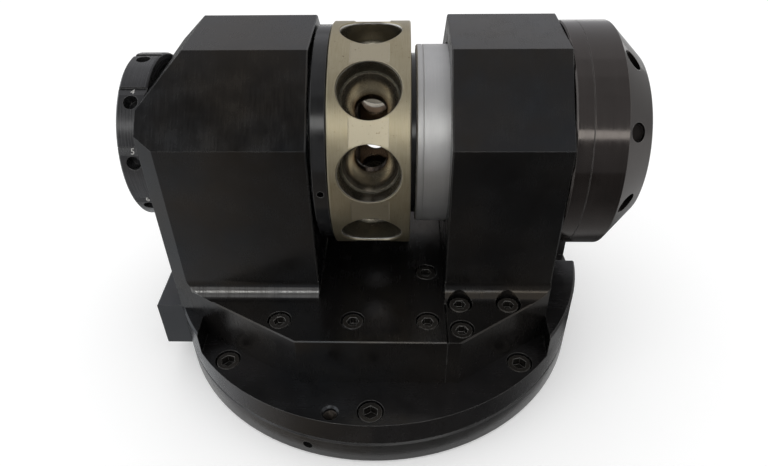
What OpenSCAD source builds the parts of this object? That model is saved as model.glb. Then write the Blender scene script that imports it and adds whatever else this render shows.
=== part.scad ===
// Indexing chuck for a vertical or horizontal spindle.
// A nine pocket ring is held between two towers on a round base, clamped from
// the right, and indexed about the horizontal axis.
// X runs along the index axis, Z is the spindle axis, and z = 0 is the back face.

/* [Base] */
// Outer diameter of the adapter plate and the base flange
disc_d = 350; // [345:1:380]
// Thickness of the adapter plate
adapter_t = 22; // [20:0.5:30]
// Thickness of the base flange under its slot
flange_t = 23; // [21:0.5:32]
// Height of the two side lobes above the slot floor
lobe_h = 21; // [12:0.5:26]
// Chamfer on the rims of both discs
rim_chamfer = 1.5; // [0.5:0.25:3]
// Distance from the rim to the middle of a base screw
base_screw_edge = 12.5; // [11:0.25:14]
// Diameter of the spindle register in the back face
register_d = 139.7; // [139.7:0.1:140.2]
// Depth of the spindle register
register_depth = 14; // [8:0.5:16]
// Pitch circle diameter of the spindle bolts
spindle_pcd = 171.4; // [168:0.2:180]
// Diameter of the spindle bolt holes
spindle_hole_d = 14; // [10:0.5:16]
// Width of the open pocket round the right base screw
rim_pocket_w = 33; // [24:1:40]
// Thickness of the side block
side_block_t = 21; // [18:0.5:26]

/* [Body and tower] */
// Width of the left lobe between the slot and the flat
lobe_w = 20.5; // [16:0.5:24]
// Depth of the flat on the left of the base
side_flat = 17; // [16:0.25:18]
// Length of the left diagonal cuts along the index axis
left_run = 102.9; // [98:0.1:106]
// Angle of the left diagonal cuts
left_cut = 30; // [28:0.5:32]
// Half width of the foot
foot_half = 135.7; // [132:0.1:138]
// Height of the foot above the slot floor
foot_h = 44.5; // [42:0.5:48]
// Height of the towers above the index axis
tower_rise = 83.5; // [82:0.25:88]
// Half width of the towers
tower_half = 83.5; // [82:0.25:86]
// Half width of the flat top of the towers
tower_top_half = 33.5; // [30:0.5:40]
// Chamfer on the outer top edge of the left tower
tower_bevel = 30; // [24:0.5:32]
// Radius of the fillet where a tower meets its foot
fillet_r = 12; // [8:0.5:14]
// Gap between the ring and the foot under it
ring_clear = 8.5; // [7:0.25:11]
// Edge break on the machined blocks
edge_break = 0.8; // [0.4:0.1:1.2]

/* [Tail block] */
// Straight length of the tail block's foot beside the gap
tail_straight = 9.9; // [6:0.1:12]
// Angle of the right diagonal cuts
right_cut = 35.4; // [34:0.2:37]
// Gap between the body and the tail block
block_seam = 0.3; // [0.1:0.1:0.6]

/* [Ring] */
// Outer diameter of the pocket ring
ring_d = 171; // [168:0.5:174]
// Width of the pocket ring
ring_w = 57; // [55:0.5:60]
// Bore of the pocket ring
ring_bore = 85; // [84:0.5:86]
// Number of pockets and index stations
stations = 9; // [9:1:9]
// Diameter of a pocket
pocket_d = 43; // [40:0.5:44]
// Depth from the rim to the middle of the ball seat
pocket_wall = 19; // [17:0.5:21]
// Diameter of the through hole in a pocket
pocket_hole_d = 23.5; // [20:0.5:25]
// Width of the flats between the pockets
flat_w = 27; // [24:0.5:34]
// Depth of the flats between the pockets
flat_depth = 0.7; // [0.5:0.1:1]

/* [Index head] */
// Diameter of the face plate
face_plate_d = 166; // [160:0.5:168]
// Thickness of the face plate
face_plate_t = 12; // [11:0.5:14]
// Gap between the face plate and the tower
face_plate_gap = 1.2; // [0.8:0.1:1.6]
// Radius of the front journal of the spindle
front_journal_r = 50; // [48:0.5:51]
// Radius of the rear journal of the spindle
rear_journal_r = 36; // [35.5:0.25:37]
// Radius of the index plate
plate_r = 62; // [60:0.5:63]
// Thickness of the index plate
plate_t = 16; // [14:0.5:17]
// Number of notches in the index plate
notches = 36; // [36:36:36]
// Width of a notch
notch_w = 6; // [5:0.1:6.5]
// Depth of a notch
notch_depth = 6.5; // [6.2:0.1:7]
// Diameter of the index dial
dial_d = 126; // [122:0.5:128]
// Thickness of the index dial
dial_t = 20.5; // [19:0.5:22]
// Depth of a step in the dial's rim
dial_step = 1.6; // [0.8:0.1:2]
// Gap between the dial and the tower
dial_gap = 1.5; // [1.2:0.1:2]
// Diameter of the bar holes in the dial
bar_hole_d = 10.5; // [8:0.5:11]
// Radius of the drawbar
drawbar_r = 14; // [13:0.5:15]
// Grip length of the collet in the ring
collet_grip = 15; // [12:0.5:16]
// Half angle of the collet taper
collet_angle = 12; // [10:0.5:14]

/* [Lock plunger] */
// Distance of the plunger from the left face
plunger_in = 48; // [47:0.25:49]
// Radius of the plunger stem
plunger_r = 12; // [11:0.25:13]
// Radius of the plunger's collar
collar_r = 20; // [18:0.5:21]
// Travel of the plunger
plunger_travel = 7; // [6.8:0.1:7]

/* [Clamp] */
// Diameter of the clamp pad
pad_d = 137; // [134:0.5:138]
// Length of the pad that shows between its nose and the tail block
pad_show = 23.5; // [22:0.5:25]
// Length of the pad that sits inside the tail block at rest
pad_inside = 8; // [7.5:0.25:8.5]
// Diameter of the pad nose
nose_d = 124; // [118:0.5:128]
// Thickness of the pad nose
nose_t = 4; // [3:0.5:5]
// Length of the spigot that centres the ring
spigot_l = 6.5; // [4:0.5:8]
// Stroke of the clamp
clamp_stroke = 9; // [8:0.25:9]
// Radius of the clamp quill
quill_r = 57; // [56:0.5:58]
// Radius of the piston rod
rod_r = 22; // [20:0.5:23]
// Radius of the cylinder chamber
chamber_r = 60; // [58:0.5:61]
// Outer diameter of the cylinder flange and cap
cap_d = 171; // [168:0.5:174]
// Thickness of the cylinder flange
cap_flange_t = 12; // [11:0.5:14]
// Straight length of the end cap
cap_straight = 23; // [21:0.5:25]
// Length of the cone on the end cap
cone_l = 24; // [22:0.5:25]
// Number of spanner holes in the cone
spanner_holes = 9; // [6:1:9]
// Diameter of a spanner hole
spanner_hole_d = 13.5; // [8:0.5:14]

/* [Fits] */
// Radial clearance of a running fit
run_gap = 0.05; // [0.02:0.01:0.09]
// Radial clearance of a fixed seat
seat_gap = 0.02; // [0.01:0.01:0.04]
// Gap between the clamp nose and the ring
clamp_gap = 0.1; // [0.05:0.05:0.2]
// Clearance round a part that must not touch
free_gap = 1.5; // [1:0.1:2]

/* [Hidden] */
$fn = 64;

// Socket screws: thread, head diameter, head height, hexagon across flats
m4 = [4, 7, 4, 3];
m5 = [5, 8.5, 5, 4];
m6 = [6, 10, 6, 5];
m8 = [8, 13, 8, 6];
m10 = [10, 16, 10, 8];
m12 = [12, 18, 12, 10];
head_room = 1;
head_sink = 1;

// Heights
axis_h = foot_h + ring_d / 2 + ring_clear;
tower_h = axis_h + tower_rise;
z_flange = adapter_t;
z_slot = adapter_t + flange_t;
z_lobe = z_slot + lobe_h;
z_foot = z_slot + foot_h;
z_top = z_slot + tower_h;
z_shoulder = z_top - (tower_half - tower_top_half);
z_axis = z_slot + axis_h;

// Places along the index axis
disc_r = disc_d / 2;
left_face = disc_r - side_flat;
x_left = -left_face;
x_slot = x_left + lobe_w;
x_face = -ring_w / 2;
x_plate_back = x_face - face_plate_t;
x_tower = x_plate_back - face_plate_gap;
x_nose = ring_w / 2 + clamp_gap;
x_pad = ring_w / 2 + nose_t;
x_block = x_pad + pad_show;
x_pad_back = x_block + pad_inside;
x_seam = x_block - block_seam;

// Base details
base_pcd = disc_d - 2 * base_screw_edge;
jack_edge = 8.4;
jack_angle = -100.2;
jack_hole_r = 5;
rim_hole_r = 4;
rim_hole_depth = 20;
rim_hole_angle = -106;
spindle_bolts = 6;
block_half = sqrt(disc_r * disc_r - left_face * left_face);
side_screw_y = 50;
side_screw_z = z_flange + 14;
side_screw_l = 30;
base_screw_l = 25;
spindle_hole_depth = 18;

// Screw places on the foot
foot_screw_edge = 21.7;
foot_screw_y = foot_half - foot_screw_edge;
body_screw_x = [-69, -14, 42];
floor_screw_y = 59;
tail_screw_x = [67, 104];
tail_screw_out = 11.9;
tail_screw_y = tower_half + tail_screw_out;
corner_screw_edge = 13.7;
corner_screw_y = foot_half - corner_screw_edge;
foot_screw_l = 50;
foot_pocket_r = m10[1] / 2 + 1.8;
dowel_r = 5;
dowel_in = 15;
dowel_up = 17;
dowel_edge = 40.7;
body_dowel = [-42, foot_half - dowel_edge];
tail_dowel = [85, 55];

// Index head details
plunger_x = left_face - plunger_in;
ring_r = ring_d / 2;
bore_r = ring_bore / 2;
ball_r = pocket_d / 2;
station_angle = 360 / stations;
seat_step = 1.2;
lead_start = 0.3;
lead_h = 5;
lead_out = 2.1;
plate_pins = 2;
plate_pin_d = 5;
plate_pin_depth = 10;
plate_pin_angle = 91;
step_angle = 29;
step_slope = 11;
bar_hole_depth = 11;
housing_r = 65;
housing_flange_r = 77;
housing_flange_t = 8;
washer_t = 2;
x_housing_front = x_plate_back - 10.5;
x_washer_front = x_housing_front + washer_t;
x_housing_flange = x_housing_front - housing_flange_t;
x_plate_front = -plunger_x + plate_t / 2;
x_plate_rear = -plunger_x - plate_t / 2;
x_housing_rear = x_plate_front + 4;
x_chamber = x_plate_rear - 4;
housing_screw_r = (housing_r + housing_flange_r) / 2;
housing_screw_l = 16;
bush_t = 8;
seat_r = 40;
nose_flange_r = 62;
spigot_r = 40;
spigot_len = 6;
plate_screw_r = 52;
plate_screw_l = 11;
rear_bore_r = rear_journal_r + bush_t;
end_r = rear_journal_r - 2;
key_w = 8;
key_sink = 3;
key_rise = 3;
x_dial_face = x_left - dial_gap;
x_dial_end = x_dial_face - dial_t;
x_spindle_end = x_dial_end - 0.5;
dial_recess_r = 50;
dial_recess = 8.5;
nut_t = 8;
nut_r = 48;
nut_slot_w = 7;
cylinder_r = 28;
draw_room = 30.5;
x_draw_shoulder = x_spindle_end + draw_room;
cap_plug_t = 6;
draw_piston_t = 12;
draw_piston_gap = 3;
draw_end_r = 10;
collet_base_t = spigot_len;
x_collet = x_face + collet_grip;
x_collet_back = x_plate_back + spigot_len;
collet_mouth_r = 33;
collet_slots = 8;
collet_slot_w = 2;
cone_gap = 0.3;
cone_screw_l = 26;

// Lock plunger details
z_plate_low = z_axis - plate_r;
blade_top = z_plate_low - free_gap;
blade_h = 11;
blade_w = notch_w - 4 * run_gap;
blade_l = plate_t - 2;
plug_h = 10;
collar_rest = z_slot + plug_h + 2;
collar_h = 8;
sleeve_t = 4;
z_sleeve_top = z_axis - housing_r - 4;
spring_wire = 2.2;
spring_r = 16;
spring_turns = 3;
spring_sides = 8;
spring_steps = 14;
spring_room = plunger_travel + (spring_turns + 1) * spring_wire + 2;
z_spring_top = collar_rest + collar_h + spring_room;

// Clamp details
stub_r = 30;
bearing_r = 47.5;
bearing_w = 18;
bearings = 2;
ball_count = 12;
bearing_ball_r = 5;
pitch_r = (stub_r + bearing_r) / 2;
race_gap = 0.1;
race_shoulder = 3.2;
retainer_t = 8;
retainer_screw_r = (bearing_r + quill_r) / 2;
retainer_screw_l = 12;
x_quill = x_pad_back + 2 + retainer_t;
x_bearing_end = x_quill + bearings * bearing_w;
bearing_nut_t = 7;
x_stub = x_bearing_end + bearing_nut_t;
x_cavity = x_stub + 5;
quill_floor = 6;
x_quill_end = x_cavity + quill_floor;
x_right = x_quill_end + clamp_stroke + 0.5;
x_pad_room = x_pad_back + clamp_stroke + 3;
nose_bore_r = 30;
nose_screw_r = (nose_bore_r + bore_r) / 2;
nose_screw_l = 12;
groove_w = 0.8;
groove_at = 4.5;
quill_key_w = 10;
quill_key_l = 24;
quill_key_h = 10;
quill_key_depth = 5;
x_quill_key = x_pad_room + 14;
boss_r = 70;
boss_l = 8;
x_cap = x_right + cap_flange_t;
x_boss = x_cap + boss_l;
cap_r = cap_d / 2;
cap_screw_r = (boss_r + cap_r) / 2;
cap_screw_l = 24;
piston_t = 16;
x_piston = x_boss + free_gap;
x_piston_end = x_piston + piston_t;
x_chamber_end = x_piston_end + clamp_stroke + 2;
x_cone = x_cap + cap_straight;
x_end = x_cone + cone_l;
cone_end_r = cap_r - cone_l;
seal_w = 4;
seal_depth = 4;
piston_screw_l = 30;
port_r = 5.9;
spanner_at = 8.5;
spanner_floor_r = chamber_r + 6;
spanner_offset = 20;

// Tower section across the index axis, from the foot up
tower_section = [
    [-tower_half, z_slot], [tower_half, z_slot], [tower_half, z_shoulder],
    [tower_top_half, z_top], [-tower_top_half, z_top], [-tower_half, z_shoulder]];

// Outlines of the body and the tail block seen from above
left_face_half = foot_half - left_run * tan(left_cut);
body_outline = [
    [x_left, -left_face_half], [x_left + left_run, -foot_half], [x_seam, -foot_half],
    [x_seam, foot_half], [x_left + left_run, foot_half], [x_left, left_face_half]];
right_run = x_right - x_block - tail_straight;
right_face_half = foot_half - right_run * tan(right_cut);
tail_outline = [
    [x_block, -foot_half], [x_right - right_run, -foot_half], [x_right, -right_face_half],
    [x_right, right_face_half], [x_right - right_run, foot_half], [x_block, foot_half]];

// A cylinder along X from x1 to x2, about the index axis
module rod_x(r, x1, x2, r2 = -1) {
    translate([x1, 0, z_axis]) rotate([0, 90, 0])
        cylinder(h = x2 - x1, r1 = r, r2 = r2 < 0 ? r : r2);
}

// A tube along X about the index axis
module tube_x(r, bore, x1, x2) {
    difference() {
        rod_x(r, x1, x2);
        rod_x(bore, x1 - 1, x2 + 1);
    }
}

// A revolve about the index axis of points given as [x, radius]
module turned(points) {
    translate([0, 0, z_axis]) rotate([0, 90, 0]) rotate_extrude($fn = 128)
        polygon([for (p = points) [p[1], p[0]]]);
}

// A prism along X of a section given as [y, z]
module prism_x(section, x1, x2) {
    translate([x1, 0, 0]) rotate([90, 0, 90]) linear_extrude(x2 - x1) polygon(section);
}

// Puts its children at each angle round the index axis, at a radius
module round_axis(count, r, offset_angle = 0) {
    for (i = [0:count - 1])
        translate([0, 0, z_axis]) rotate([offset_angle + i * 360 / count, 0, 0])
            translate([0, 0, r]) children();
}

// Puts its children on both sides of the index axis
module both_sides() {
    children();
    mirror([0, 1, 0]) children();
}

// Cuts the edges between a tower's end face at x and its sides and top
module end_edges(x, dir) {
    for (i = [1:len(tower_section) - 1]) {
        p = tower_section[i];
        q = tower_section[(i + 1) % len(tower_section)];
        run = norm(q - p);
        foot = z_foot + fillet_r - z_slot;
        low = p[1] == z_slot ? foot : 0;
        high = q[1] == z_slot ? foot : 0;
        translate([x, p[0], p[1]]) rotate([atan2(q[1] - p[1], q[0] - p[0]), 0, 0])
            translate([0, run + 1 - high, 0]) rotate([90, 0, 0]) linear_extrude(run + 2 - high - low)
                polygon([[-dir * (edge_break + 1), -1], [dir, edge_break + 1], [dir, -1]]);
    }
}

// Cuts the chosen top edges of a block with the given outline, outside the band |y| < clear
module top_edges(outline, z, clear, edges) {
    both_sides() intersection() {
        translate([-disc_d, clear, z - 5]) cube([2 * disc_d, disc_d, 10]);
        for (i = edges) {
            p = outline[i];
            q = outline[(i + 1) % len(outline)];
            run = norm(q - p);
            translate([p[0], p[1], z]) rotate([0, 0, atan2(q[1] - p[1], q[0] - p[0])])
                translate([-1, 0, 0]) rotate([90, 0, 90]) linear_extrude(run + 2)
                    polygon([[-1, -edge_break - 1], [edge_break + 1, 1], [-1, 1]]);
        }
    }
}

// A socket head screw with the top of its head at z = 0
module socket_screw(m, length) {
    difference() {
        union() {
            translate([0, 0, -m[2]]) cylinder(h = m[2] - 0.5, d = m[1]);
            translate([0, 0, -0.5]) cylinder(h = 0.5, d1 = m[1], d2 = m[1] - 1);
            translate([0, 0, -m[2] - length]) cylinder(h = length + 1, d = m[0]);
        }
        translate([0, 0, -m[2] * 0.6]) cylinder(h = m[2], d = m[3] / cos(30), $fn = 6);
    }
}

// The stepped hole for a socket screw whose head lies under the face at z = 0
module screw_hole(m, length) {
    translate([0, 0, -head_sink - m[2]]) cylinder(h = head_sink + m[2] + 1, d = m[1] + 2 * head_room);
    translate([0, 0, -head_sink - m[2] - length - 1])
        cylinder(h = length + 2, r = m[0] / 2 + seat_gap);
}

// A socket screw in its place under a face at z = 0
module placed_screw(m, length) {
    translate([0, 0, -head_sink]) socket_screw(m, length);
}

// Places of the base screws on their circle
module base_screw_places() {
    for (a = [-135:45:135])
        rotate([0, 0, a]) translate([base_pcd / 2, 0, z_slot]) children();
}

module body_screw_places() {
    both_sides() {
        for (x = body_screw_x) translate([x, foot_screw_y, z_foot]) children();
        translate([body_screw_x[2], floor_screw_y, z_foot]) children();
    }
}

module tail_screw_places() {
    both_sides() {
        for (x = tail_screw_x) translate([x, tail_screw_y, z_foot]) children();
        translate([tail_screw_x[0], corner_screw_y, z_foot]) children();
    }
}

module side_screw_places() {
    both_sides() translate([x_left - side_block_t, side_screw_y, side_screw_z]) rotate([0, -90, 0])
        children();
}

module dowel_places() {
    both_sides() {
        translate([body_dowel[0], body_dowel[1], z_slot - dowel_in]) children();
        translate([tail_dowel[0], tail_dowel[1], z_slot - dowel_in]) children();
    }
}

// A disc with both rims chamfered
module rim_disc(r, h, c) {
    rotate_extrude($fn = 180)
        polygon([[0, 0], [r - c, 0], [r, c], [r, h - c], [r - c, h], [0, h]]);
}

module adapter_plate() {
    color([0.20, 0.20, 0.21]) difference() {
        rim_disc(disc_r, adapter_t, rim_chamfer);
        translate([0, 0, -1]) cylinder(h = register_depth + 1, d = register_d);
        for (i = [0:spindle_bolts - 1])
            rotate([0, 0, 30 + i * 360 / spindle_bolts]) translate([spindle_pcd / 2, 0, -1])
                cylinder(h = spindle_hole_depth + 1, d = spindle_hole_d);
        base_screw_places() screw_hole(m12, base_screw_l);
        for (side = [0, 180])
            rotate([0, 0, rim_hole_angle + side]) translate([disc_r - rim_hole_depth, 0, adapter_t / 2])
                rotate([0, 90, 0]) cylinder(h = rim_hole_depth + 1, r = rim_hole_r);
    }
}

module base_flange() {
    color([0.16, 0.15, 0.15]) difference() {
        translate([0, 0, z_flange]) rim_disc(disc_r, flange_t + lobe_h, rim_chamfer);
        // slot between the lobes
        translate([x_slot, -disc_r - 1, z_slot]) cube([x_right - x_slot, 2 * disc_r + 2, lobe_h + 1]);
        // flat for the side block
        translate([x_left - disc_r, -disc_r, z_flange - 1]) cube([disc_r, disc_d, flange_t + lobe_h + 2]);
        // open pocket round the right screw
        translate([base_pcd / 2, 0, z_slot]) cylinder(h = lobe_h + 1, d = rim_pocket_w);
        translate([base_pcd / 2, -rim_pocket_w / 2, z_slot]) cube([disc_r, rim_pocket_w, lobe_h + 1]);
        base_screw_places() screw_hole(m12, base_screw_l);
        body_screw_places() screw_hole(m10, foot_screw_l);
        tail_screw_places() screw_hole(m10, foot_screw_l);
        side_screw_places() screw_hole(m8, side_screw_l);
        dowel_places() cylinder(h = dowel_in + 1, r = dowel_r + seat_gap);
        for (side = [0, 180])
            rotate([0, 0, jack_angle + side]) translate([disc_r - jack_edge, 0, z_flange - 1]) {
                cylinder(h = flange_t + 2, r = jack_hole_r);
                translate([0, 0, flange_t + 1 - rim_chamfer])
                    cylinder(h = rim_chamfer + 1, r1 = jack_hole_r, r2 = jack_hole_r + rim_chamfer + 1);
            }
    }
}

module base_screws() {
    color([0.12, 0.12, 0.12]) base_screw_places() placed_screw(m12, base_screw_l);
}

module side_block() {
    color([0.33, 0.33, 0.34]) difference() {
        translate([x_left - side_block_t, -block_half, z_flange])
            cube([side_block_t, 2 * block_half, flange_t + lobe_h]);
        side_screw_places() screw_hole(m8, side_screw_l);
        top_edges([[x_left - side_block_t, block_half], [x_left - side_block_t, -block_half],
            [x_left, -block_half], [x_left, block_half]], z_lobe, 0, [0]);
    }
}

module side_block_screws() {
    color([0.12, 0.12, 0.12]) side_screw_places() placed_screw(m8, side_screw_l);
}

// Foot, tower and fillets of a block before its outline is cut
module block_mass(x1, x2, foot_x1, foot_x2) {
    prism_x(tower_section, x1, x2);
    translate([foot_x1, -foot_half, z_slot]) cube([foot_x2 - foot_x1, 2 * foot_half, foot_h]);
    both_sides() difference() {
        translate([x1, tower_half - 1, z_foot - 1]) cube([x2 - x1, fillet_r + 1, fillet_r + 1]);
        translate([x1 - 1, tower_half + fillet_r, z_foot + fillet_r]) rotate([0, 90, 0])
            cylinder(h = x2 - x1 + 2, r = fillet_r);
    }
}

module main_body() {
    color([0.17, 0.16, 0.15]) difference() {
        intersection() {
            block_mass(x_left, x_tower, x_left, x_seam);
            translate([0, 0, z_slot]) linear_extrude(tower_h) polygon(body_outline);
        }
        // step over the left lobe
        translate([x_left - 1, -foot_half - 1, z_slot - 1])
            cube([lobe_w + 1, 2 * foot_half + 2, lobe_h + 1]);
        // outer top bevel
        translate([x_left, -tower_half, z_top - tower_bevel]) rotate([0, -45, 0])
            translate([0, -1, 0]) cube([tower_bevel * 2, 2 * tower_half + 2, tower_bevel * 2]);
        end_edges(x_tower, 1);
        top_edges(body_outline, z_foot, tower_half + fillet_r, [0:5]);
        // main bore, open towards the ring
        rod_x(housing_flange_r + seat_gap, x_housing_flange, x_tower + 1);
        rod_x(housing_r, x_chamber, x_tower);
        rod_x(rear_bore_r, x_left - 1, x_tower);
        round_axis(6, housing_screw_r, 30) translate([x_housing_front, 0, 0]) rotate([0, 90, 0])
            screw_hole(m5, housing_screw_l);
        // plunger bores, from below
        translate([-plunger_x, 0, z_slot - 1]) cylinder(h = z_spring_top - z_slot + 1, r = collar_r + run_gap);
        translate([-plunger_x, 0, z_slot]) cylinder(h = axis_h - housing_r + 4, r = plunger_r + sleeve_t);
        body_screw_places() screw_hole(m10, foot_screw_l);
        dowel_places() cylinder(h = dowel_in + dowel_up + 1, r = dowel_r + seat_gap);
    }
}

module body_screws() {
    color([0.12, 0.12, 0.12]) body_screw_places() placed_screw(m10, foot_screw_l);
}

module tail_block() {
    color([0.16, 0.15, 0.15]) difference() {
        intersection() {
            block_mass(x_block, x_right, x_block, x_right);
            translate([0, 0, z_slot]) linear_extrude(tower_h) polygon(tail_outline);
        }
        end_edges(x_block, -1);
        end_edges(x_right, 1);
        top_edges(tail_outline, z_foot, tower_half + fillet_r, [1, 3, 5]);
        rod_x(pad_d / 2 + free_gap, x_block - 1, x_pad_room);
        rod_x(quill_r + run_gap, x_block, x_right + 1);
        // key slot for the quill
        translate([x_quill_key, -quill_key_w / 2, z_axis - quill_r - quill_key_h + quill_key_depth])
            cube([quill_key_l, quill_key_w, quill_key_h]);
        round_axis(8, cap_screw_r, 22.5) translate([x_cap, 0, 0]) rotate([0, 90, 0])
            screw_hole(m8, cap_screw_l);
        tail_screw_places() screw_hole(m10, foot_screw_l);
        // arched pockets over the screws beside the tower
        both_sides() for (x = tail_screw_x)
            translate([x, tail_screw_y, z_foot - m10[2] - head_sink])
                cylinder(h = m10[2] + head_sink + fillet_r + 2, r = foot_pocket_r);
        dowel_places() cylinder(h = dowel_in + dowel_up + 1, r = dowel_r + seat_gap);
    }
}

module tail_block_screws() {
    color([0.12, 0.12, 0.12]) tail_screw_places() placed_screw(m10, foot_screw_l);
}

module locating_dowels() {
    color([0.55, 0.55, 0.56]) dowel_places() cylinder(h = dowel_in + dowel_up, r = dowel_r);
}

module bearing_housing() {
    color([0.35, 0.35, 0.36]) difference() {
        union() {
            rod_x(housing_flange_r, x_housing_flange, x_housing_front);
            rod_x(housing_r - seat_gap, x_housing_rear, x_housing_flange + 1);
        }
        rod_x(front_journal_r + bush_t, x_housing_rear - 1, x_housing_front + 1);
        round_axis(6, housing_screw_r, 30) translate([x_housing_front, 0, 0]) rotate([0, 90, 0])
            screw_hole(m5, housing_screw_l);
    }
}

module housing_screws() {
    color([0.12, 0.12, 0.12]) round_axis(6, housing_screw_r, 30)
        translate([x_housing_front, 0, 0]) rotate([0, 90, 0]) placed_screw(m5, housing_screw_l);
}

module front_bush() {
    color([0.72, 0.55, 0.28])
        tube_x(front_journal_r + bush_t - seat_gap, front_journal_r + run_gap,
            x_housing_rear + 1, x_housing_front - 0.2);
}

module rear_bush() {
    color([0.72, 0.55, 0.28])
        tube_x(rear_bore_r - seat_gap, rear_journal_r + run_gap, x_left + 0.5, x_chamber - 0.5);
}

module thrust_washer() {
    color([0.72, 0.55, 0.28])
        tube_x(nose_flange_r - 1, front_journal_r + 1, x_housing_front, x_washer_front - run_gap);
}

module index_spindle() {
    color([0.42, 0.42, 0.43]) difference() {
        union() {
            rod_x(nose_flange_r, x_washer_front, x_plate_back);
            rod_x(spigot_r, x_plate_back - 1, x_plate_back + spigot_len);
            rod_x(front_journal_r, x_plate_front, x_washer_front + 1);
            rod_x(seat_r, x_plate_rear - 0.5, x_plate_front + 1);
            rod_x(rear_journal_r, x_left - 0.5, x_plate_rear);
            rod_x(end_r, x_spindle_end, x_left);
        }
        rod_x(drawbar_r + run_gap, x_spindle_end, x_plate_back + spigot_len + 1);
        rod_x(cylinder_r, x_spindle_end - 1, x_draw_shoulder);
        round_axis(6, plate_screw_r) translate([x_face, 0, 0]) rotate([0, 90, 0])
            screw_hole(m6, plate_screw_l);
        // key slots for the index plate and the dial
        translate([x_plate_rear - 1, -key_w / 2, z_axis + seat_r - key_sink]) cube([plate_t + 1, key_w, key_sink + 1]);
        translate([x_dial_end, -key_w / 2, z_axis + end_r - key_sink]) cube([dial_t, key_w, key_sink + 1]);
    }
}

module face_plate() {
    r = face_plate_d / 2;
    c = 1.2;
    color([0.13, 0.13, 0.14]) difference() {
        turned([[x_plate_back, spigot_r + seat_gap], [x_plate_back, r - c], [x_plate_back + c, r],
            [x_face - c, r], [x_face, r - c], [x_face, spigot_r + seat_gap]]);
        round_axis(6, plate_screw_r) translate([x_face, 0, 0]) rotate([0, 90, 0])
            screw_hole(m6, plate_screw_l);
        round_axis(plate_pins, r - plate_pin_depth, plate_pin_angle)
            translate([x_face - face_plate_t / 2, 0, 0]) cylinder(h = plate_pin_depth + 1, d = plate_pin_d);
    }
}

module face_plate_screws() {
    color([0.12, 0.12, 0.12]) round_axis(6, plate_screw_r)
        translate([x_face, 0, 0]) rotate([0, 90, 0]) placed_screw(m6, plate_screw_l);
}

module index_plate() {
    color([0.45, 0.45, 0.46]) difference() {
        tube_x(plate_r, seat_r + seat_gap, x_plate_rear, x_plate_front);
        for (i = [0:notches - 1])
            translate([0, 0, z_axis]) rotate([i * 360 / notches, 0, 0])
                translate([x_plate_rear - 1, -notch_w / 2, plate_r - notch_depth])
                    cube([plate_t + 2, notch_w, notch_depth + 2]);
        translate([x_plate_rear - 1, -key_w / 2, z_axis + seat_r - 1]) cube([plate_t + 2, key_w, key_rise + 1]);
    }
}

module plate_spacer() {
    color([0.45, 0.45, 0.46]) tube_x(rear_bore_r - 2, rear_journal_r + seat_gap, x_chamber + 0.2, x_plate_rear - 0.6);
}

module plate_key() {
    color([0.5, 0.5, 0.5]) translate([x_plate_rear, -key_w / 2 + seat_gap, z_axis + seat_r - key_sink])
        cube([plate_t - seat_gap, key_w - 2 * seat_gap, key_sink + key_rise - seat_gap]);
}

module index_dial() {
    r = dial_d / 2;
    c = 1.2;
    color([0.26, 0.26, 0.28]) difference() {
        turned([[x_dial_end, dial_recess_r], [x_dial_end, r - c], [x_dial_end + c, r], [x_dial_face - c, r],
            [x_dial_face, r - c], [x_dial_face, end_r + seat_gap], [x_dial_end + dial_recess, end_r + seat_gap],
            [x_dial_end + dial_recess, dial_recess_r]]);
        // a step before each station, its floor rising back to the rim
        round_axis(stations, 0, step_angle) translate([x_dial_end - 1, 0, 0]) rotate([90, 0, 90])
            linear_extrude(dial_t + 2)
                polygon([[0, r - dial_step], [0, r + 2], [-(dial_step + 2) / tan(step_slope), r + 2]]);
        round_axis(stations, r - bar_hole_depth) translate([x_dial_end + dial_t / 2, 0, 0])
            cylinder(h = bar_hole_depth + 5, d = bar_hole_d);
        translate([x_dial_end - 1, -key_w / 2, z_axis + end_r - 1]) cube([dial_t + 2, key_w, key_rise + 1]);
    }
}

module dial_key() {
    color([0.5, 0.5, 0.5]) translate([x_dial_end + dial_recess, -key_w / 2 + seat_gap, z_axis + end_r - key_sink])
        cube([dial_t - dial_recess, key_w - 2 * seat_gap, key_sink + key_rise - seat_gap]);
}

module dial_washer() {
    color([0.72, 0.55, 0.28]) tube_x(rear_bore_r, rear_journal_r + seat_gap, x_dial_face, x_left - run_gap);
}

module dial_nut() {
    color([0.20, 0.20, 0.21]) difference() {
        tube_x(nut_r, end_r + seat_gap, x_dial_end + dial_recess - nut_t, x_dial_end + dial_recess);
        for (a = [45:90:315])
            translate([0, 0, z_axis]) rotate([a, 0, 0])
                translate([x_dial_end, -nut_slot_w / 2, nut_r - 5]) cube([nut_t + 2, nut_slot_w, 10]);
    }
}

collet_slope = tan(collet_angle);

module collet() {
    base_r = spigot_r - seat_gap;
    grip_r = bore_r - run_gap;
    back_r = collet_mouth_r - (x_collet - x_collet_back) * collet_slope;
    color([0.30, 0.30, 0.31]) difference() {
        turned([[x_collet_back, back_r], [x_collet_back, base_r], [x_face, base_r],
            [x_face, grip_r], [x_collet - 1, grip_r], [x_collet, grip_r - 1],
            [x_collet, collet_mouth_r]]);
        for (i = [0:collet_slots - 1])
            translate([0, 0, z_axis]) rotate([22.5 + i * 360 / collet_slots, 0, 0])
                translate([x_face - 2, -collet_slot_w / 2, 0])
                    cube([collet_grip + 4, collet_slot_w, bore_r + 2]);
    }
}

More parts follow.
